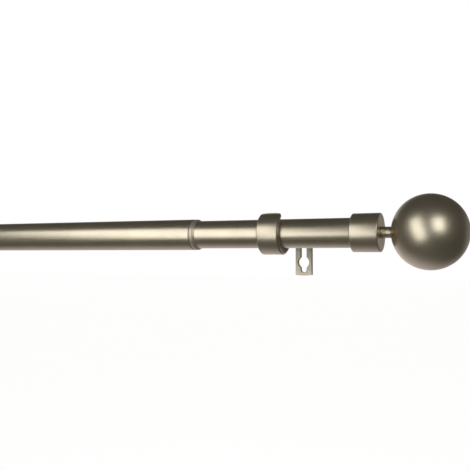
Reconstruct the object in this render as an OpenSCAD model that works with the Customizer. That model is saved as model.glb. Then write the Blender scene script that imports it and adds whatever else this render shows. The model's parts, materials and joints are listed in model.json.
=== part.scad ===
// Telescopic curtain rod with two wall brackets and ball finials, in millimetres.
// +X runs along the rod towards the thin tube, +Y into the wall, +Z up.
// The origin is on the wall plane, behind the left bracket, at the height of the rod's axis.

/* [Rod] */
// Outside diameter of the thick outer tube
outer_d = 28; // [28:0.5:29]
// Outside diameter of the thin inner tube
inner_d = 25; // [24:0.1:25.2]
// Wall of both tubes
tube_wall = 0.8; // [0.6:0.1:1]
// Length of the outer tube
outer_len = 658.7; // [400:0.1:1500]
// Length of the inner tube
inner_len = 620; // [380:10:1400]
// From the left bracket's middle to the open edge of the left cap
left_overhang = 80; // [30:1:150]
// From the outer tube's mouth to the right bracket's middle
right_bracket_reach = 77.5; // [40:0.1:110]
// From the outer tube's mouth to the open edge of the right cap
right_cap_reach = 147.8; // [130:0.1:300]

/* [Mouth ring] */
// Length of the plastic ring that shows past the mouth
ring_show = 5.5; // [4:0.5:9]
// Length of the ring's sleeve inside the outer tube
ring_sleeve = 14; // [8:1:30]

/* [Bracket] */
// From the wall to the rod's axis
projection = 83; // [60:1:120]
// Outside diameter of the cup
cup_d = 36.2; // [35:0.1:38]
// Width of the cup along the rod
cup_w = 19.5; // [17:0.5:26]
// Wall of the cup
cup_wall = 2.6; // [2.4:0.1:3]
// Where the rear wall ends, in degrees up from the wall side
rear_end = 32; // [30:1:45]
// Where the front tongue's corners are, in degrees up from the wall side
tongue_corner = 116; // [108:1:120]
// Where the front tongue's tip is, in degrees up from the wall side
tongue_tip = 98; // [90:1:100]
// How far the liner is set back from each rim of the cup
liner_inset = 0.5; // [0.5:0.5:4]
// Diameter of the arm
arm_d = 10; // [8:0.5:12]

/* [Wall plate] */
// Width of the plate
plate_w = 16.6; // [15:0.1:24]
// Thickness of the plate
plate_t = 3.5; // [2:0.5:5]
// How far the plate reaches above the rod's axis
plate_up = 11; // [8:1:16]
// How far the plate reaches below the rod's axis
plate_down = 38.5; // [38:0.1:50]
// Diameter of the keyhole's round part
keyhole_d = 11.3; // [10:0.1:12]
// Width of the keyhole's slots
keyhole_slot = 5.8; // [4.5:0.1:6.5]
// Depth of the round part's centre below the rod's axis
keyhole_drop = 25.8; // [24:0.1:26]

/* [Finial] */
// Outside diameter of the end cap
cap_d = 32; // [31:0.5:36]
// Length of the end cap
cap_len = 23.2; // [22:0.1:40]
// Diameter of the ball
ball_d = 60.6; // [60:0.1:80]
// Wall of the hollow ball
ball_wall = 1.2; // [0.8:0.1:2]
// Diameter of the neck between cap and ball
neck_d = 9.4; // [9:0.1:12]
// Length of the neck
neck_len = 8.5; // [6:0.5:14]

/* [Hidden] */
$fn = 96;
running = 0.05;                // radial clearance of a sliding or turning fit
slip = 0.1;                    // gap between faces that meet inside one body
eps = 1;                       // how far a cutter runs past a face

outer_r = outer_d / 2;
inner_r = inner_d / 2;
outer_bore_r = outer_r - tube_wall;
ring_bore_r = inner_r + running;
ring_collar_r = outer_r - slip;
ring_gap = 0.8;                // width of the gap between the outer tube's end and the ring's collar
ring_gap_depth = 0.6;
ring_groove = 0.25;            // depth of the fine groove between the ring's collar and its nose
ring_lip = 0.35;               // thickness of the ring's nose where it ends on the inner tube
inner_bore_r = inner_r - tube_wall;
cup_r = cup_d / 2;
cup_bore_r = cup_r - cup_wall;
cup_edge = 0.9;                // chamfer at the cup's outer rims
opening_lap = 7;               // how far the cutters of the cup's opening overlap, in degrees
liner_short = 5;               // how far the liner stops short of the cup's opening, in degrees
arm_r = arm_d / 2;
stem_r = 3;                    // the arm's riveted stem through the wall plate
stem_gap = 0.02;               // radial gap round the riveted stem
screw_r = 2;                   // shank of the countersunk screw in the cup
screw_head_r = 4;
screw_head_h = 1.9;
screw_len = 15;
screw_recess = 3;              // clear space above the screw's head
socket_af = 2.5;               // hexagon socket across its flats
socket_depth = 1.4;
grub_r = 2.5;
grub_tip_r = 2;
grub_tip_h = 0.8;
grub_recess = 0.15;            // how far the grub screw's end lies inside the cup's surface
keyhole_seat = 6.9;            // from the round part's centre down to the lower slot's end centre
keyhole_rise = 14;             // from the round part's centre up to the upper slot's end centre
plate_crown_r = 60;            // radius of the plate's crowned lower and upper edges
cap_bore_r = outer_r + 0.15;
cap_face = 2;                  // thickness of the cap's closed end
cap_lip = 1.5;                 // rounding of the cap's open edge, outside
cap_lip_mid = cap_lip * 0.3;   // how far that rounding stands off the corner at its middle
cap_bore_edge = 0.4;           // chamfer of the cap's open edge, inside
cap_face_edge = 0.5;           // chamfer round the cap's closed end
cap_hole_r = 3.2;
cap_seat = cap_len - cap_face; // depth of the cap's bore
insert_wall = 2.9;             // thickness of the insert's end wall
insert_tube = cap_seat - insert_wall - 3 * slip; // how far the tube's end goes into the cap
insert_plug = 22;              // length of the plug inside the tube
insert_edge = 0.8;
neck_edge = 0.4;
stud_edge = 0.6;
stud_r = 3;
stud_thread_r = stud_r + running;
stud_start = 9;
stud_len = 38;
nut_af = 10;
nut_h = 5;
ball_r = ball_d / 2;
ball_flat_r = 5.4;             // the flat on the ball where the neck meets it
ball_flat = sqrt(ball_r * ball_r - ball_flat_r * ball_flat_r);
ball_face_x = cap_len + neck_len + slip;
ball_centre_x = ball_face_x + ball_flat;
boss_r = 5.2;
boss_flange_r = 8;
boss_len = 15;
guide_head = 8;
guide_plug = 16;
guide_edge = 0.6;
guide_bore_r = 8;

left_cap_x = -left_overhang;
outer_start_x = left_cap_x - insert_tube;
mouth_x = outer_start_x + outer_len;
right_bracket_x = mouth_x + right_bracket_reach;
right_cap_x = mouth_x + right_cap_reach;
inner_end_x = right_cap_x + insert_tube;
inner_start_x = inner_end_x - inner_len;

// Places children on the rod's axis at a station along it
module on_axis(x) {
    translate([x, -projection, 0]) children();
}

// Turns a shape made along +Z so that it lies along +X
module along_x() {
    rotate([0, 90, 0]) children();
}

// Turns a shape made along +Z so that it lies along +Y
module along_y() {
    rotate([-90, 0, 0]) children();
}

// A round bar along +X from x0 to x1
module bar_x(r, x0, x1) {
    translate([x0, 0, 0]) along_x() cylinder(r = r, h = x1 - x0);
}

// A round pipe along +X from x0 to x1
module pipe_x(r_out, r_in, x0, x1) {
    difference() {
        bar_x(r_out, x0, x1);
        bar_x(r_in, x0 - eps, x1 + eps);
    }
}

// A bar along +X with a chamfer at each end
module chamfered_bar_x(r, x0, x1, edge) {
    translate([x0, 0, 0]) along_x() rotate_extrude()
        polygon([
            [0, 0], [r - edge, 0], [r, edge],
            [r, x1 - x0 - edge], [r - edge, x1 - x0], [0, x1 - x0]
        ]);
}

// ---- Telescopic rod ----

module tube(r, bore_r, x0, x1) {
    color([0.66, 0.61, 0.53]) on_axis(0) pipe_x(r, bore_r, x0, x1);
}

// Plastic ring that closes the outer tube's mouth and guides the inner tube
module mouth_ring() {
    collar_end = ring_show * 0.70;
    nose_start = ring_show * 0.80;
    nose_r = ring_collar_r - ring_groove;
    color([0.72, 0.70, 0.64]) on_axis(mouth_x) along_x() rotate_extrude()
        polygon([
            [ring_bore_r, -ring_sleeve],
            [outer_bore_r - running, -ring_sleeve],
            [outer_bore_r - running, slip],
            [ring_collar_r - ring_gap_depth, slip],
            [ring_collar_r - ring_gap_depth, ring_gap],
            [ring_collar_r, ring_gap],
            [ring_collar_r, collar_end],
            [nose_r - ring_groove, collar_end],
            [nose_r - ring_groove, nose_start],
            [nose_r, nose_start],
            [ring_bore_r + ring_lip, ring_show],
            [ring_bore_r, ring_show]
        ]);
}

// Plastic plug in the inner tube's hidden end, which slides in the outer tube
module tail_guide() {
    color([0.25, 0.25, 0.25]) on_axis(inner_start_x) difference() {
        union() {
            chamfered_bar_x(outer_bore_r - running, -guide_head, -slip, guide_edge);
            bar_x(inner_bore_r - running, -guide_head / 2, guide_plug);
        }
        bar_x(guide_bore_r, -guide_head - eps, guide_plug + eps);
    }
}

// ---- Bracket: the rod's axis is local X, the wall is at y = projection ----

// A sector of a disc across the rod, from one angle to another, up from the wall side
module sector_x(a0, a1, w) {
    reach = cup_r * 2;
    rotate([90, 0, 90]) translate([0, 0, -w / 2]) linear_extrude(w)
        polygon([
            [0, 0],
            [reach * cos(a0), reach * sin(a0)],
            [reach * cos((a0 + a1) / 2), reach * sin((a0 + a1) / 2)],
            [reach * cos(a1), reach * sin(a1)]
        ]);
}

// The opening at the cup's top rear, with the tongue's tip left as a round arc
module cup_opening() {
    half = cup_w / 2;
    mid = (tongue_tip + tongue_corner) / 2;
    rise = 2 * cup_r * sin((tongue_corner - tongue_tip) / 2);
    arc_r = (half * half + rise * rise) / (2 * rise);
    sector_x(rear_end, tongue_tip, cup_w + eps);
    difference() {
        sector_x(tongue_tip - opening_lap, tongue_corner + opening_lap, cup_w + eps);
        rotate([mid, 0, 0]) translate([0, 0, arc_r - rise / 2]) along_y() cylinder(r = arc_r, h = cup_d);
    }
}

module cup() {
    half = cup_w / 2;
    inner_edge = cup_edge / 2;
    color([0.62, 0.57, 0.49]) difference() {
        along_x() rotate_extrude() polygon([
            [cup_bore_r + inner_edge, -half], [cup_r - cup_edge, -half],
            [cup_r, cup_edge - half], [cup_r, half - cup_edge],
            [cup_r - cup_edge, half], [cup_bore_r + inner_edge, half],
            [cup_bore_r, half - inner_edge], [cup_bore_r, inner_edge - half]
        ]);
        cup_opening();
        translate([0, cup_bore_r, 0]) along_y() {
            translate([0, 0, -screw_recess]) cylinder(r = screw_head_r + slip, h = screw_recess);
            cylinder(r1 = screw_head_r + slip, r2 = screw_r + slip, h = screw_head_h);
            cylinder(r = screw_r + slip, h = cup_wall + eps);
        }
        translate([0, 0, -cup_r - eps]) cylinder(r = grub_r + running, h = cup_wall + 2 * eps);
    }
}

// Plastic lining that holds a tube of the given radius centred in the cup
module liner(tube_r) {
    half = cup_w / 2 - liner_inset;
    color([0.50, 0.47, 0.41]) difference() {
        pipe_x(cup_bore_r - running, tube_r + running, -half, half);
        sector_x(rear_end - liner_short, tongue_corner + liner_short, cup_w);
        translate([0, 0, -cup_r]) cylinder(r = grub_r + slip, h = cup_r - tube_r + eps);
    }
}

module cup_screw() {
    color([0.60, 0.60, 0.60]) translate([0, cup_bore_r, 0]) along_y() difference() {
        union() {
            cylinder(r1 = screw_head_r, r2 = screw_r, h = screw_head_h);
            cylinder(r = screw_r, h = screw_len);
        }
        translate([0, 0, -eps]) cylinder(r = socket_af / 2 / cos(30), h = socket_depth + eps, $fn = 6);
    }
}

module arm() {
    plate_front = projection - plate_t;
    color([0.60, 0.55, 0.47]) difference() {
        union() {
            translate([0, cup_r / 2, 0]) along_y() cylinder(r = arm_r, h = plate_front - cup_r / 2);
            translate([0, plate_front - eps, 0]) along_y() cylinder(r = stem_r, h = plate_t + eps);
        }
        bar_x(cup_r + running, -arm_d, arm_d);
        translate([0, cup_r - eps, 0]) along_y()
            cylinder(r = screw_r + running, h = screw_len - cup_wall + 2 * eps);
    }
}

module wall_plate() {
    tall = plate_up + plate_down;
    middle = (plate_up - plate_down) / 2;
    color([0.60, 0.57, 0.47]) translate([0, projection - plate_t, 0]) difference() {
        intersection() {
            translate([-plate_w / 2, 0, -plate_down]) cube([plate_w, plate_t, tall]);
            translate([0, 0, plate_crown_r - plate_down]) along_y() cylinder(r = plate_crown_r, h = plate_t);
            translate([0, 0, plate_up - plate_crown_r]) along_y() cylinder(r = plate_crown_r, h = plate_t);
        }
        translate([0, -eps, 0]) {
            through = plate_t + 2 * eps;
            along_y() cylinder(r = stem_r + stem_gap, h = through);
            translate([0, 0, -keyhole_drop]) {
                along_y() cylinder(d = keyhole_d, h = through);
                slot(keyhole_rise, through);
                slot(-keyhole_seat, through);
            }
        }
    }
}

// A slot from the origin to a round end at height dz, through y = 0 to y = depth
module slot(dz, depth) {
    low = min(dz, 0);
    translate([-keyhole_slot / 2, 0, low]) cube([keyhole_slot, depth, abs(dz)]);
    translate([0, 0, dz]) along_y() cylinder(d = keyhole_slot, h = depth);
}

// The soft tip lies against the tube, and the screw below it ends flush with the cup
module grub_tip(tube_r) {
    color([0.85, 0.84, 0.78]) translate([0, 0, -tube_r - running - grub_tip_h])
        cylinder(r = grub_tip_r, h = grub_tip_h);
}

module grub_screw(tube_r) {
    top = -tube_r - running - grub_tip_h - running;
    bottom = grub_recess - cup_r;
    color([0.30, 0.29, 0.27]) translate([0, 0, bottom]) difference() {
        cylinder(r = grub_r, h = top - bottom);
        translate([0, 0, -eps]) cylinder(r = socket_af / 2 / cos(30), h = socket_depth + eps, $fn = 6);
    }
}

// ---- Finial: x = 0 is the cap's open edge, and x grows away from the rod ----

module cap() {
    cap_r = cap_d / 2;
    color([0.66, 0.61, 0.52]) along_x() rotate_extrude() polygon([
        [cap_bore_r, cap_bore_edge], [cap_bore_r + cap_bore_edge, 0],
        [max(cap_r - cap_lip, cap_bore_r + cap_bore_edge + running), 0],
        [cap_r - cap_lip_mid, cap_lip_mid], [cap_r, cap_lip],
        [cap_r, cap_len - cap_face_edge], [cap_r - cap_face_edge, cap_len],
        [cap_hole_r, cap_len], [cap_hole_r, cap_seat], [cap_bore_r, cap_seat]
    ]);
}

// Plastic plug that grips the tube's end and fills the cap around it
module cap_insert(tube_r) {
    tube_bore_r = tube_r - tube_wall;
    wall_start = cap_seat - slip - insert_wall;
    fill_r = cap_bore_r - slip;
    color([0.20, 0.20, 0.20]) difference() {
        union() {
            bar_x(fill_r, wall_start, cap_seat - slip);
            chamfered_bar_x(tube_bore_r - running, wall_start - insert_plug, wall_start + 1, insert_edge);
            if (fill_r - tube_r > 1) pipe_x(fill_r, tube_r + running, 1, wall_start + 1);
        }
        bar_x(stud_r + slip, wall_start - insert_plug - eps, cap_len);
        translate([cap_seat - slip - nut_h - slip, 0, 0]) along_x()
            cylinder(r = nut_af / 2 / cos(30) + slip, h = nut_h + eps, $fn = 6);
    }
}

module stud_nut() {
    color([0.62, 0.62, 0.60]) translate([cap_seat - slip - nut_h, 0, 0]) along_x() difference() {
        cylinder(r = nut_af / 2 / cos(30), h = nut_h - slip, $fn = 6);
        translate([0, 0, -eps]) cylinder(r = stud_thread_r, h = nut_h + 2 * eps);
    }
}

module neck() {
    color([0.58, 0.54, 0.46]) difference() {
        chamfered_bar_x(neck_d / 2, cap_len, cap_len + neck_len, neck_edge);
        bar_x(stud_r + slip, cap_len - eps, cap_len + neck_len + eps);
    }
}

module stud() {
    color([0.62, 0.62, 0.60]) chamfered_bar_x(stud_r, stud_start, stud_start + stud_len, stud_edge);
}

module ball() {
    color([0.58, 0.54, 0.46]) translate([ball_centre_x, 0, 0]) difference() {
        sphere(r = ball_r);
        sphere(r = ball_r - ball_wall);
        translate([-ball_flat - ball_r, -ball_r, -ball_r]) cube([ball_r, ball_d, ball_d]);
        bar_x(boss_r + running, -ball_r, 0);
    }
}

// Threaded boss inside the ball, which the stud screws into
module ball_boss() {
    shoulder = ball_flat - sqrt(pow(ball_r - ball_wall, 2) - boss_flange_r * boss_flange_r) + slip;
    color([0.62, 0.62, 0.60]) translate([ball_face_x, 0, 0]) difference() {
        union() {
            bar_x(boss_r, 0, shoulder + 1);
            bar_x(boss_flange_r, shoulder, boss_len);
        }
        bar_x(stud_thread_r, -eps, boss_len + eps);
    }
}

module at_left_bracket() { on_axis(0) children(); }
module at_right_bracket() { on_axis(right_bracket_x) children(); }
module at_left_end() { on_axis(left_cap_x) mirror([1, 0, 0]) children(); }
module at_right_end() { on_axis(right_cap_x) children(); }

tube(outer_r, outer_bore_r, outer_start_x, mouth_x);  // outer_tube
mouth_ring();
tube(inner_r, inner_bore_r, inner_start_x, inner_end_x);  // inner_tube
tail_guide();

at_left_bracket() wall_plate();  // left_wall_plate
at_left_bracket() arm();  // left_arm
at_left_bracket() cup();  // left_cup
at_left_bracket() cup_screw();  // left_cup_screw
at_left_bracket() liner(outer_r);  // left_liner
at_left_bracket() grub_tip(outer_r);  // left_grub_tip
at_left_bracket() grub_screw(outer_r);  // left_grub_screw

at_right_bracket() wall_plate();  // right_wall_plate
at_right_bracket() arm();  // right_arm
at_right_bracket() cup();  // right_cup
at_right_bracket() cup_screw();  // right_cup_screw
at_right_bracket() liner(inner_r);  // right_liner
at_right_bracket() grub_tip(inner_r);  // right_grub_tip
at_right_bracket() grub_screw(inner_r);  // right_grub_screw

at_left_end() cap();  // left_cap
at_left_end() cap_insert(outer_r);  // left_cap_insert
at_left_end() neck();  // left_neck
at_left_end() stud();  // left_stud
at_left_end() stud_nut();  // left_stud_nut
at_left_end() ball_boss();  // left_ball_boss
at_left_end() ball();  // left_ball

at_right_end() cap();  // right_cap
at_right_end() cap_insert(inner_r);  // right_cap_insert
at_right_end() neck();  // right_neck
at_right_end() stud();  // right_stud
at_right_end() stud_nut();  // right_stud_nut
at_right_end() ball_boss();  // right_ball_boss
at_right_end() ball();  // right_ball
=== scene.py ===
"""Looks of the telescopic curtain rod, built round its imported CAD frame.

Metres, in the CAD's own frame: +X along the rod, +Y into the wall, +Z up.
"""

import json
import math

import bmesh
import bpy
from mathutils import Matrix, Vector


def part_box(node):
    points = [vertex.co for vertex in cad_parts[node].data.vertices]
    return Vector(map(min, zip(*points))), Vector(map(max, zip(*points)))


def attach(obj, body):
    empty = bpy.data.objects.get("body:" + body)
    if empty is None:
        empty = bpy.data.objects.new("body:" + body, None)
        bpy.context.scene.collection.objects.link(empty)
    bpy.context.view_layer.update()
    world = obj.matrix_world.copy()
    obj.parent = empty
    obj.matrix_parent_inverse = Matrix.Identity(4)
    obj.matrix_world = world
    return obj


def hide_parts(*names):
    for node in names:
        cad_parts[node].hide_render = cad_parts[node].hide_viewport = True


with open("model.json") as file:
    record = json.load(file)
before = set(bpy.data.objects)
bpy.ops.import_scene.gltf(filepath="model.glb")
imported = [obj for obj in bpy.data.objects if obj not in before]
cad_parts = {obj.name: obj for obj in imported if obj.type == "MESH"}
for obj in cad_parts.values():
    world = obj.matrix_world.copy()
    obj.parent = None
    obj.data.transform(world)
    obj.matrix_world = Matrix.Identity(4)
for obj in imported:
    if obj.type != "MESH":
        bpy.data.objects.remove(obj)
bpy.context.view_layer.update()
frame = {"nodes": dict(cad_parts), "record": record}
nodes = frame["nodes"]

MM = 0.001
SIDES = {"left": -1, "right": 1}               # the way a finial points along X


# ---------------------------------------------------------------- sizes read from the frame

def middle(node):
    """The centre of a CAD node's box."""
    low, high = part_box(node)
    return (low + high) / 2


def radius(node):
    """Half the height of a CAD node, which is the radius of a turned one."""
    low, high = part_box(node)
    return (high.z - low.z) / 2


def span(node):
    """Where a CAD node starts and ends along the rod."""
    low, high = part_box(node)
    return low.x, high.x


AXIS = middle("outer_tube")                    # a point on the rod's axis
MOUTH = span("outer_tube")[1]                  # the outer tube's open end
CUP = middle("right_cup")                      # what the camera and the lights are placed from

RUNNING = 0.05 * MM                            # radial clearance of a sliding or turning fit
SLIP = 0.1 * MM                                # gap between faces that meet inside one body

BODY_OF = {n: body for body, names in frame["record"]["behaviour"]["bodies"].items() for n in names}
SLOT_OF = {s["node"]: s["material_slot"] for s in frame["record"]["subparts"]}


# ---------------------------------------------------------------- materials

class Graph:
    """A short way to build a material's nodes."""

    def __init__(self, name):
        self.material = bpy.data.materials.new(name)
        self.material.use_nodes = True
        self.tree = self.material.node_tree
        self.shader = self.tree.nodes["Principled BSDF"]
        self.place = self.add("ShaderNodeTexCoord").outputs["Object"]

    def add(self, kind, **settings):
        """A new shader node of a kind, with its settings."""
        node = self.tree.nodes.new(kind)
        for key, value in settings.items():
            setattr(node, key, value)
        return node

    def link(self, source, target):
        self.tree.links.new(source, target)

    def stretched(self, scale):
        """The object's own coordinates, scaled by direction."""
        mapping = self.add("ShaderNodeMapping")
        mapping.inputs["Scale"].default_value = scale
        self.link(self.place, mapping.inputs["Vector"])
        return mapping.outputs["Vector"]

    def turned(self):
        """Coordinates that are the same all round the rod's axis: the station and the radius."""
        split = self.add("ShaderNodeSeparateXYZ")
        self.link(self.place, split.inputs[0])
        off = self.add("ShaderNodeMath", operation="SUBTRACT")
        off.inputs[1].default_value = AXIS.y
        self.link(split.outputs["Y"], off.inputs[0])
        across = self.add("ShaderNodeCombineXYZ")
        self.link(off.outputs[0], across.inputs["Y"])
        self.link(split.outputs["Z"], across.inputs["Z"])
        length = self.add("ShaderNodeVectorMath", operation="LENGTH")
        self.link(across.outputs[0], length.inputs[0])
        joined = self.add("ShaderNodeCombineXYZ")
        self.link(split.outputs["X"], joined.inputs["X"])
        self.link(length.outputs["Value"], joined.inputs["Y"])
        return joined.outputs[0]

    def noise(self, vector, scale, detail=3.0, rough=0.55):
        """A noise pattern, of scale waves a metre."""
        node = self.add("ShaderNodeTexNoise")
        node.inputs["Scale"].default_value = scale
        node.inputs["Detail"].default_value = detail
        node.inputs["Roughness"].default_value = rough
        self.link(vector, node.inputs["Vector"])
        return node.outputs["Fac"]

    def spread(self, value, low, high):
        """A noise pattern, which mostly lies between 0.3 and 0.7, turned into a range of values."""
        node = self.add("ShaderNodeMapRange")
        node.inputs["From Min"].default_value = 0.3
        node.inputs["From Max"].default_value = 0.7
        node.inputs["To Min"].default_value = low
        node.inputs["To Max"].default_value = high
        self.link(value, node.inputs["Value"])
        return node.outputs["Result"]

    def sum(self, a, b):
        """Two patterns added."""
        node = self.add("ShaderNodeMath", operation="ADD")
        self.link(a, node.inputs[0])
        self.link(b, node.inputs[1])
        return node.outputs[0]

    def shades(self, value, dark, light):
        """A pattern as a colour between two shades."""
        node = self.add("ShaderNodeMix", data_type="RGBA")
        node.inputs["A"].default_value = (*dark, 1)
        node.inputs["B"].default_value = (*light, 1)
        self.link(value, node.inputs["Factor"])
        return node.outputs["Result"]

    def times(self, colour, other):
        """Two colours multiplied."""
        node = self.add("ShaderNodeMix", data_type="RGBA", blend_type="MULTIPLY")
        node.inputs["Factor"].default_value = 1.0
        self.link(colour, node.inputs["A"])
        self.link(other, node.inputs["B"])
        return node.outputs["Result"]

    def bump(self, height, depth):
        """Relief in the surface from a pattern, depth in metres."""
        node = self.add("ShaderNodeBump")
        node.inputs["Distance"].default_value = depth
        self.link(height, node.inputs["Height"])
        self.link(node.outputs["Normal"], self.shader.inputs["Normal"])

    def set(self, **values):
        """Uniform values, set on the shader's own sockets."""
        for key, value in values.items():
            self.shader.inputs[key.replace("_", " ")].default_value = value


def scaled(colour, factor):
    """A colour made darker or lighter."""
    return tuple(c * factor for c in colour)


def satin_nickel(name, tint, rough, grain, grain_scale, depth=4e-6):
    """Satin plating: grain in the direction of finishing, soft clouds in the plating, fine speckle.

    The grain is "turned", for rings round the rod, or a scale by direction.
    """
    g = Graph(name)
    vector = g.turned() if grain == "turned" else g.stretched(grain)
    lines = g.noise(vector, grain_scale, detail=4.0, rough=0.7)
    clouds = g.noise(g.place, 38.0, detail=2.0)
    marks = g.noise(g.place, 3200.0, detail=3.0, rough=0.6)
    plating = g.shades(g.spread(clouds, 0.0, 1.0), scaled(tint, 0.95), scaled(tint, 1.04))
    streaks = g.shades(g.spread(lines, 0.0, 1.0), (0.90, 0.895, 0.88), (1.03, 1.03, 1.03))
    speckle = g.shades(g.spread(marks, 0.0, 1.0), (0.94, 0.94, 0.94), (1.02, 1.02, 1.02))
    g.link(g.times(g.times(plating, streaks), speckle), g.shader.inputs["Base Color"])
    g.link(g.sum(g.spread(lines, rough - 0.05, rough + 0.05), g.spread(marks, -0.03, 0.03)),
           g.shader.inputs["Roughness"])
    g.bump(g.sum(lines, g.spread(marks, -0.25, 0.25)), depth)
    g.set(Metallic=1.0)
    return g.material


def plastic(name, dark, light, rough, grain_scale=1600.0, depth=4e-6, **more):
    """Moulded plastic: a fine grain from the mould, and slight flow marks."""
    g = Graph(name)
    fine = g.noise(g.place, grain_scale, detail=4.0)
    flow = g.noise(g.stretched((1.0, 0.35, 1.0)), 130.0, detail=2.0)
    g.link(g.shades(flow, dark, light), g.shader.inputs["Base Color"])
    g.link(g.spread(fine, rough - 0.07, rough + 0.08), g.shader.inputs["Roughness"])
    g.bump(fine, depth)
    g.set(**more)
    return g.material


def pressed_steel(name, tint, rough):
    """Plated sheet steel: mottled and duller than the tubes, with a painted shadow of the rod: dark olive
    higher up, behind the rod.
    """
    g = Graph(name)
    mottle = g.noise(g.place, 420.0, detail=4.0, rough=0.65)
    clouds = g.noise(g.place, 120.0, detail=2.0)
    grain = g.noise(g.stretched((1.0, 1.0, 0.05)), 2200.0, detail=3.0)
    # painted shadow: the plate's colour darkens towards the rod, standing in for the rod's shadow and dark
    # reflection on it
    split = g.add("ShaderNodeSeparateXYZ")
    g.link(g.place, split.inputs[0])
    rod_shadow_mask = g.add("ShaderNodeMapRange")
    rod_shadow_mask.inputs["From Min"].default_value = PLATE_UNSHADED_Z
    rod_shadow_mask.inputs["From Max"].default_value = PLATE_SHADOWED_Z
    g.link(split.outputs["Z"], rod_shadow_mask.inputs["Value"])
    plating = g.times(g.shades(g.spread(mottle, 0.0, 1.0), scaled(tint, 0.86), scaled(tint, 1.03)),
                      g.shades(g.spread(clouds, 0.0, 1.0), (0.90, 0.92, 0.88), (1.02, 1.02, 1.02)))
    g.link(g.times(plating, g.shades(rod_shadow_mask.outputs["Result"], (1, 1, 1), PAINTED_ROD_SHADOW)),
           g.shader.inputs["Base Color"])
    g.link(g.sum(g.spread(mottle, rough - 0.06, rough + 0.06), g.spread(grain, -0.02, 0.02)),
           g.shader.inputs["Roughness"])
    g.bump(g.sum(mottle, grain), 4e-6)
    g.set(Metallic=1.0)
    return g.material


def screw_steel(name, tint, rough):
    """Zinc plated or blackened steel, with small spangles."""
    g = Graph(name)
    spangle = g.noise(g.place, 1400.0, detail=3.0)
    clouds = g.noise(g.place, 260.0, detail=2.0)
    g.link(g.shades(clouds, scaled(tint, 0.86), tint), g.shader.inputs["Base Color"])
    g.link(g.spread(spangle, rough - 0.08, rough + 0.10), g.shader.inputs["Roughness"])
    g.bump(spangle, 2e-6)
    g.set(Metallic=1.0)
    return g.material


NICKEL = (0.745, 0.665, 0.505)
ALONG = (0.012, 1.0, 1.0)                      # grain drawn out along the rod
TURNED_NICKEL = scaled(NICKEL, 0.94)
CAST_NICKEL = scaled(NICKEL, 0.92)
SPUN_NICKEL = scaled(NICKEL, 0.96)
CAST_GRAIN = (0.5, 1.0, 1.0)
NO_GRAIN = (1.0, 1.0, 1.0)
PLATE_UNSHADED_Z = -38 * MM                      # painted shadow of the rod on the wall plates: none at their lower end
PLATE_SHADOWED_Z = -12 * MM                        # and the full painted shadow from here up
PAINTED_ROD_SHADOW = (0.52, 0.545, 0.52)                # the painted shadow's colour, multiplied into the plating there

MATERIALS = {
    "satin_nickel_tube": satin_nickel("satin nickel, drawn tube", NICKEL, 0.35, ALONG, 1900.0),
    "satin_nickel_bracket": satin_nickel("satin nickel, casting", CAST_NICKEL, 0.37, CAST_GRAIN, 1500.0),
    "satin_nickel_finial": satin_nickel("satin nickel, turned", TURNED_NICKEL, 0.37, "turned", 1300.0),
    "zinc_steel": screw_steel("zinc plated steel", (0.62, 0.63, 0.62), 0.30),
    "black_steel": screw_steel("blackened steel", (0.10, 0.095, 0.09), 0.42),
    "natural_nylon": plastic("natural nylon", (0.68, 0.66, 0.58), (0.76, 0.74, 0.66), 0.48),
    "black_plastic": plastic("black plastic", (0.030, 0.026, 0.019), (0.046, 0.040, 0.030), 0.50),
    "grey_plastic": plastic("grey liner", (0.27, 0.25, 0.21), (0.34, 0.315, 0.265), 0.42),
    "clear_grey_plastic": plastic(
        "smoky plastic", (0.60, 0.545, 0.43), (0.72, 0.655, 0.52), 0.40, depth=2e-6, Metallic=0.75),
}
PLATE_STEEL = pressed_steel("satin nickel, pressed plate", (0.62, 0.55, 0.44), 0.44)
BALL_NICKEL = satin_nickel("satin nickel, spun ball", SPUN_NICKEL, 0.37, NO_GRAIN, 2600.0, depth=1.5e-6)


# ---------------------------------------------------------------- mesh helpers

def smooth(piece, angle=35.0):
    """Smooth shading, with edges sharper than an angle in degrees kept crisp."""
    piece.data.shade_smooth()
    piece.data.set_sharp_from_angle(angle=math.radians(angle))


def stands_for(piece, node, material=None):
    """Gives a new piece the body, material and slot of the CAD node that it replaces."""
    piece.data.materials.append(material or MATERIALS[SLOT_OF[node]])
    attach(piece, BODY_OF[node])
    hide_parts(node)


def make(name, vertices, faces, node, angle=40.0, material=None):
    """A mesh object that replaces one CAD node."""
    mesh = bpy.data.meshes.new(name)
    mesh.from_pydata(vertices, [], faces)
    bm = bmesh.new()
    bm.from_mesh(mesh)
    bmesh.ops.remove_doubles(bm, verts=bm.verts, dist=1e-7)
    bmesh.ops.recalc_face_normals(bm, faces=bm.faces)
    bm.to_mesh(mesh)
    bm.free()
    piece = bpy.data.objects.new(name, mesh)
    bpy.context.scene.collection.objects.link(piece)
    smooth(piece, angle)
    stands_for(piece, node, material)
    return piece


def soften(corners, steps=6):
    """A closed outline of corners (x, y, rounding), with each corner turned into an arc."""
    most = 0.48                                    # how much of a side one arc may take
    out = []
    for i, (x, y, rounding) in enumerate(corners):
        before, after = Vector(corners[i - 1][:2]), Vector(corners[(i + 1) % len(corners)][:2])
        corner = Vector((x, y))
        a, b = (before - corner), (after - corner)
        if rounding == 0:
            out.append((x, y))
            continue
        half = a.angle(b) / 2
        cut = min(rounding / math.tan(half), most * a.length, most * b.length)
        centre = corner + (a.normalized() + b.normalized()).normalized() * cut / math.cos(half)
        start, end = corner + a.normalized() * cut - centre, corner + b.normalized() * cut - centre
        t0 = math.atan2(start.y, start.x)
        turn = (math.atan2(end.y, end.x) - t0 + math.pi) % (2 * math.pi) - math.pi
        for k in range(steps + 1):
            t = t0 + turn * k / steps
            out.append((centre.x + start.length * math.cos(t), centre.y + start.length * math.sin(t)))
    return out


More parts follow.
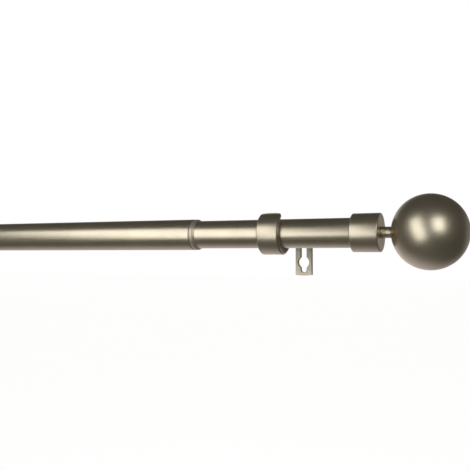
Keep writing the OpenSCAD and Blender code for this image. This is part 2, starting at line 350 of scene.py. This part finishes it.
def revolve(profile, turns=160):
    """Vertices and faces of a closed (x, radius) outline turned round the rod's axis."""
    count = len(profile)
    vertices = []
    for k in range(turns):
        t = 2 * math.pi * k / turns
        vertices += [(x, AXIS.y + r * math.cos(t), r * math.sin(t)) for x, r in profile]
    faces = []
    for k in range(turns):
        a, b = k * count, ((k + 1) % turns) * count
        for i in range(count):
            j = (i + 1) % count
            faces.append((a + i, a + j, b + j, b + i))
    return vertices, faces


def turned(name, node, corners, turns=160, steps=6):
    """A turned piece from an outline in metres."""
    return make(name, *revolve(soften(corners, steps), turns), node)


# ---------------------------------------------------------------- the telescopic rod

TUBE_WALL = 0.8 * MM
TUBE_EDGE = 0.25 * MM                          # the tubes' ends are deburred


def build_tube(node):
    """A drawn tube with both ends open."""
    x0, x1 = span(node)
    outside = radius(node)
    inside = outside - TUBE_WALL
    turned(node + "_drawn", node, [
        (x0, inside, TUBE_EDGE), (x1, inside, TUBE_EDGE),
        (x1, outside, TUBE_EDGE), (x0, outside, TUBE_EDGE)], turns=192, steps=4)


def build_mouth_ring():
    """The bush in the tube's mouth: a sleeve inside it, a dark gap, a collar, a fine groove and a nose."""
    x0, x1 = span("mouth_ring")
    show = x1 - MOUTH
    sleeve = radius("outer_tube") - TUBE_WALL - RUNNING
    bore = radius("inner_tube") + RUNNING
    collar = radius("mouth_ring")
    gap_width, gap_depth, groove_depth, lip = 0.8 * MM, 0.6 * MM, 0.25 * MM, 0.35 * MM
    gap_floor, nose = collar - gap_depth, collar - groove_depth
    groove_floor = nose - groove_depth
    start, gap_end = MOUTH + SLIP, MOUTH + gap_width
    collar_end, nose_start = MOUTH + show * 0.70, MOUTH + show * 0.80
    turned("mouth_ring_moulded", "mouth_ring", [
        (x0, bore, 0.1 * MM), (x0, sleeve, 0.3 * MM), (start, sleeve, 0),
        (start, gap_floor, 0), (gap_end, gap_floor, 0.1 * MM),
        (gap_end, collar, 0.15 * MM), (collar_end, collar, 0.2 * MM),
        (collar_end, groove_floor, 0.05 * MM), (nose_start, groove_floor, 0.05 * MM),
        (nose_start, nose, 0.15 * MM),
        (x1, bore + lip, 0.15 * MM), (x1, bore, 0.1 * MM)], steps=4)


# ---------------------------------------------------------------- finials

CAP_FACE = 2.0 * MM                            # thickness of the cap's closed end
BALL_WALL = 1.2 * MM


def build_cap(side, way):
    """A turned cup over the tube's end, with a soft lip and a hole for the stud in its closed end."""
    node = side + "_cap"
    x0, x1 = span(node)
    mouth, face = (x0, x1) if way > 0 else (x1, x0)
    outside = radius(node)
    bore = radius(side + "_cap_insert") + SLIP
    hole = radius(side + "_stud") + 2 * SLIP
    seat = face - way * CAP_FACE
    turned(node + "_turned", node, [
        (mouth, bore, 0.12 * MM), (mouth, outside, 1.6 * MM), (face, outside, 1.0 * MM),
        (face, hole, 0.2 * MM), (seat, hole, 0), (seat, bore, 0)])


def build_neck(side, way):
    """A collar in two halves, with a fine groove between them."""
    node = side + "_neck"
    x0, x1 = span(node)
    start, end = (x0, x1) if way > 0 else (x1, x0)
    outside = radius(node)
    bore = radius(side + "_stud") + SLIP
    groove = (start + end) / 2
    brim, floor = way * 0.35 * MM, way * 0.15 * MM  # the groove's half widths at its top and bottom
    depth = 0.35 * MM
    turned(node + "_turned", node, [
        (start, bore, 0), (start, outside, 0.4 * MM),
        (groove - brim, outside, 0.2 * MM), (groove - floor, outside - depth, 0.1 * MM),
        (groove + floor, outside - depth, 0.1 * MM), (groove + brim, outside, 0.2 * MM),
        (end, outside, 0.4 * MM), (end, bore, 0)], turns=96)


def build_ball(side, way):
    """A hollow ball with a small flat and a hole where the neck meets it."""
    node = side + "_ball"
    x0, x1 = span(node)
    flat, far = (x0, x1) if way > 0 else (x1, x0)
    r = radius(node)
    centre = far - way * r
    hole = radius(side + "_neck") + 0.55 * MM       # just clears the threaded boss
    inner_r = r - BALL_WALL

    def meridian(ball_r, start, steps=96):
        """Points of a half circle from the neck's side, at angle start, to the far pole."""
        angles = [start + (math.pi - start) * k / steps for k in range(steps + 1)]
        return [(centre - way * ball_r * math.cos(t), ball_r * math.sin(t)) for t in angles]

    outer = meridian(r, math.acos(abs(centre - flat) / r))
    inner = meridian(inner_r, math.asin(hole / inner_r))
    profile = outer + inner[::-1] + [(flat, hole)]
    make(node + "_spun", *revolve(profile, 192), node, material=BALL_NICKEL)


def build_stud(side, way):
    """M6 threaded stud: the crest follows a helix of one turn a millimetre."""
    node = side + "_stud"
    x0, x1 = span(node)
    crest, pitch, depth = radius(node), 1.0 * MM, 0.58 * MM
    root = crest - depth
    edge = 0.6 * MM                                # chamfer at both ends
    per_turn, rows_per_pitch = 48, 10
    rows = int((x1 - x0) / pitch * rows_per_pitch)
    vertices, faces = [], []
    for i in range(rows + 1):
        x = x0 + (x1 - x0) * i / rows
        end = min(x - x0, x1 - x)
        for k in range(per_turn):
            t = 2 * math.pi * k / per_turn
            phase = (x / pitch - k / per_turn) % 1.0
            # crest and root are a sixth of the pitch wide, and each flank a third
            height = min(1.0, max(0.0, 1.25 - abs(phase - 0.5) * 3.0))
            r = min(root + (crest - root) * height, crest - max(0.0, edge - end))
            vertices.append((x, AXIS.y + r * math.cos(t), r * math.sin(t)))
    for i in range(rows):
        for k in range(per_turn):
            a, b = i * per_turn + k, i * per_turn + (k + 1) % per_turn
            faces.append((a, b, b + per_turn, a + per_turn))
    faces.append(tuple(range(per_turn)))
    faces.append(tuple(rows * per_turn + k for k in range(per_turn)))
    make(node + "_threaded", vertices, faces, node, angle=50.0)


# ---------------------------------------------------------------- brackets

def arc_points(cx, cz, r, start, end, steps):
    """Points of an arc in the wall plate's plane, angles in degrees from +X towards +Z."""
    return [(cx + r * math.cos(math.radians(start + (end - start) * k / steps)),
             cz + r * math.sin(math.radians(start + (end - start) * k / steps))) for k in range(steps + 1)]


def plate_edge(cx, low, high):
    """Outline of a wall plate: straight sides and slightly crowned ends."""
    half, crown = (high.x - low.x) / 2, 60 * MM
    swing = math.degrees(math.asin(half / crown))
    return (arc_points(cx, low.z + crown, crown, -90 - swing, -90 + swing, 16)
            + arc_points(cx, high.z - crown, crown, 90 - swing, 90 + swing, 16))


def keyhole(cx):
    """Outline of a round hole with a long slot above it and a short one below."""
    hole_z, hole_r, slot_r = -25.8 * MM, 5.65 * MM, 2.9 * MM
    rise, seat = 14.0 * MM, 6.9 * MM               # from the hole's centre to the slots' end centres
    meet = math.degrees(math.asin(slot_r / hole_r))
    return (arc_points(cx, hole_z + rise, slot_r, 0, 180, 16)
            + arc_points(cx, hole_z, hole_r, 90 + meet, 270 - meet, 24)
            + arc_points(cx, hole_z - seat, slot_r, 180, 360, 16)
            + arc_points(cx, hole_z, hole_r, -90 + meet, 90 - meet, 24))


def rivet_hole(cx, r=3.0 * MM, sides=32):
    """Outline of the hole that the arm's riveted end fills, on the rod's own height."""
    return arc_points(cx, 0, r, 0, 360 - 360 / sides, sides - 1)


def sheet(name, loops, thickness, rounding=0.35 * MM):
    """A sheet with rounded edges, lying in X and Y, from outlines: its own edge, then its holes."""
    curve = bpy.data.curves.new(name + "_outline", "CURVE")
    curve.dimensions = "2D"
    curve.fill_mode = "BOTH"
    for loop in loops:
        spline = curve.splines.new("POLY")
        spline.points.add(len(loop) - 1)
        for point, (x, z) in zip(spline.points, loop):
            point.co = (x, z, 0, 1)
        spline.use_cyclic_u = True
    curve.extrude = thickness / 2 - rounding
    curve.bevel_depth = rounding
    curve.bevel_resolution = 3
    curve.offset = -rounding
    drawn = bpy.data.objects.new(name + "_outline", curve)
    bpy.context.scene.collection.objects.link(drawn)
    bpy.context.view_layer.update()
    mesh = bpy.data.meshes.new_from_object(drawn.evaluated_get(bpy.context.evaluated_depsgraph_get()))
    bpy.data.objects.remove(drawn)
    mesh.name = name
    return mesh


def build_wall_plate(side):
    """A pressed plate with rounded edges, its double-ended keyhole and the hole for the arm."""
    node = side + "_wall_plate"
    low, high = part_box(node)
    centre = (low + high) / 2
    loops = (plate_edge(centre.x, low, high), keyhole(centre.x), rivet_hole(centre.x))
    mesh = sheet(node + "_pressed", loops, high.y - low.y)
    for vertex in mesh.vertices:                   # stands the sheet up against the wall
        x, z, depth = vertex.co
        vertex.co = (x, centre.y - depth, z)
    piece = bpy.data.objects.new(node + "_pressed", mesh)
    bpy.context.scene.collection.objects.link(piece)
    smooth(piece, 30)
    stands_for(piece, node, PLATE_STEEL)


def round_edges(node, width, angle=32.0):
    """Keeps a CAD node and breaks its sharp edges with a small rounding."""
    piece = nodes[node]
    weld = piece.modifiers.new("weld", "WELD")
    weld.merge_threshold = 1e-6
    bevel = piece.modifiers.new("edges", "BEVEL")
    bevel.width = width
    bevel.segments = 3
    bevel.limit_method = "ANGLE"
    bevel.angle_limit = math.radians(angle)
    smooth(piece, angle)


# ---------------------------------------------------------------- the whole rod

CUP_EDGE = 0.35 * MM                           # rounding of the cups' edges
SMALL_EDGE = 0.2 * MM                          # and of the other parts'
SMALL_PARTS = (
    "arm", "cup_screw", "grub_screw", "grub_tip", "stud_nut", "ball_boss", "cap_insert", "liner")

for name, piece in nodes.items():
    piece.data.materials.clear()
    piece.data.materials.append(MATERIALS[SLOT_OF[name]])
    smooth(piece)

build_tube("outer_tube")
build_tube("inner_tube")
build_mouth_ring()
for side, way in SIDES.items():
    build_cap(side, way)
    build_neck(side, way)
    build_ball(side, way)
    build_stud(side, way)
    build_wall_plate(side)
    round_edges(side + "_cup", CUP_EDGE)
    for part in SMALL_PARTS:
        round_edges(side + "_" + part, SMALL_EDGE)
round_edges("tail_guide", SMALL_EDGE)


# ---------------------------------------------------------------- floor, light and camera

FLOOR_Z = -1.2
LAMP_DISTANCE = 1.6                            # metres from the rod
LAMP_COLOUR = (0.98, 1.0, 1.02)
LAMP_AIM = Vector((CUP.x + 0.044, AXIS.y, 0.0))   # on the axis, between the right cup and the right cap


def build_floor():
    """A plain pale floor well below the rod. It is left out of the metal's reflections."""
    mesh = bpy.data.meshes.new("floor")
    half = 30.0
    corners = [(-half, -half, 0), (half, -half, 0), (half, half, 0), (-half, half, 0)]
    mesh.from_pydata(corners, [], [(0, 1, 2, 3)])
    floor = bpy.data.objects.new("floor", mesh)
    floor.location = (AXIS.x, AXIS.y, FLOOR_Z)
    bpy.context.scene.collection.objects.link(floor)
    g = Graph("pale floor")
    grain = g.noise(g.place, 6.0, detail=2.0)
    g.link(g.shades(grain, (0.90, 0.90, 0.895), (0.92, 0.92, 0.915)), g.shader.inputs["Base Color"])
    g.set(Roughness=0.9, Emission_Color=(1.0, 1.0, 1.0, 1.0), Emission_Strength=0.9)
    mesh.materials.append(g.material)
    floor.visible_glossy = False
    floor.visible_diffuse = False


def softbox(name, azimuth, elevation, width, height, radiance, lean=0.0):
    """A rectangular soft light aimed at the rod's right end, with all its angles in degrees.

    Azimuth 0 is in front of the rod and minus is to the left. Width and height are what it covers
    as seen from the rod, and lean tips its top to the left.
    """
    data = bpy.data.lights.new(name, "AREA")
    data.shape = "RECTANGLE"
    data.size = 2 * LAMP_DISTANCE * math.tan(math.radians(width / 2))
    data.size_y = 2 * LAMP_DISTANCE * math.tan(math.radians(height / 2))
    data.energy = radiance * math.pi * data.size * data.size_y
    data.color = LAMP_COLOUR
    lamp = bpy.data.objects.new(name, data)
    a, e = math.radians(azimuth), math.radians(elevation)
    away = Vector((math.sin(a) * math.cos(e), -math.cos(a) * math.cos(e), math.sin(e)))
    place = Matrix.Translation(LAMP_AIM + LAMP_DISTANCE * away)
    aim = (-away).to_track_quat("-Z", "Y").to_matrix().to_4x4()
    lamp.matrix_world = place @ aim @ Matrix.Rotation(math.radians(lean), 4, "Z")
    lamp.visible_camera = False
    bpy.context.scene.collection.objects.link(lamp)


def build_camera():
    """The photo's viewpoint: close to the rod's right end, looking back along it."""
    camera = bpy.data.cameras.new("camera")
    eye = bpy.data.objects.new("camera", camera)
    camera.sensor_width = 36.0
    camera.lens = 51.43
    right, away, below = 0.2132, 0.5437, 0.0165    # metres from the right cup's centre on the axis
    tilt, turn = 1.52, 24.72                       # degrees up, and to the left
    eye.location = (CUP.x + right, AXIS.y - away, -below)
    eye.rotation_euler = (math.radians(90.0 + tilt), 0.0, math.radians(turn))
    camera.clip_start, camera.clip_end = 0.02, 200.0
    bpy.context.scene.collection.objects.link(eye)
    bpy.context.scene.camera = eye


def build_world():
    """White to the camera. To all else it is a dim room, lighter low down, behind and at the right."""
    world = bpy.data.worlds.new("studio")
    world.use_nodes = True
    tree = world.node_tree
    direction = tree.nodes.new("ShaderNodeTexCoord").outputs["Generated"]

    def toward(way, start, end, colour):
        """Light that comes up as a direction turns towards way. Start and end are the angle's cosines."""
        dot = tree.nodes.new("ShaderNodeVectorMath")
        dot.operation = "DOT_PRODUCT"
        dot.inputs[1].default_value = Vector(way).normalized()
        tree.links.new(direction, dot.inputs[0])
        level = tree.nodes.new("ShaderNodeMapRange")
        level.interpolation_type = "SMOOTHSTEP"
        level.inputs["From Min"].default_value = start
        level.inputs["From Max"].default_value = end
        tree.links.new(dot.outputs["Value"], level.inputs["Value"])
        glow = tree.nodes.new("ShaderNodeBackground")
        glow.inputs["Color"].default_value = (*colour, 1)
        tree.links.new(level.outputs["Result"], glow.inputs["Strength"])
        return glow.outputs[0]

    def both(a, b):
        """Two lights added."""
        add = tree.nodes.new("ShaderNodeAddShader")
        tree.links.new(a, add.inputs[0])
        tree.links.new(b, add.inputs[1])
        return add.outputs[0]

    room = tree.nodes["Background"]
    room.inputs["Color"].default_value = (0.071, 0.067, 0.062, 1)
    low = toward((-0.4, 0.0, -0.9), 0.1, 0.9, (0.030, 0.029, 0.028))
    back = toward((-0.45, 0.82, -0.36), 0.45, 1.0, (0.36, 0.335, 0.35))
    rear = toward((-0.42, 0.90, -0.08), 0.80, 0.98, (0.45, 0.43, 0.44))
    under = toward((-0.31, 0.35, -0.88), 0.78, 1.0, (0.13, 0.125, 0.15))
    right = toward((0.5, 0.86, 0.0), 0.90, 1.0, (0.19, 0.18, 0.18))
    light = room.outputs[0]
    for glow in (low, back, rear, under, right):
        light = both(light, glow)
    white = tree.nodes.new("ShaderNodeBackground")
    white.inputs["Color"].default_value = (1, 1, 1, 1)
    path = tree.nodes.new("ShaderNodeLightPath")
    mix = tree.nodes.new("ShaderNodeMixShader")
    tree.links.new(path.outputs["Is Camera Ray"], mix.inputs[0])
    tree.links.new(light, mix.inputs[1])
    tree.links.new(white.outputs[0], mix.inputs[2])
    tree.links.new(mix.outputs[0], tree.nodes["World Output"].inputs["Surface"])
    bpy.context.scene.world = world


build_floor()
softbox("left_softbox", -25, 7, 32.5, 64, 1.88, lean=24)
softbox("right_softbox", 36, 19, 29, 36, 2.3)
build_camera()
build_world()
bpy.context.scene.view_settings.view_transform = "Standard"
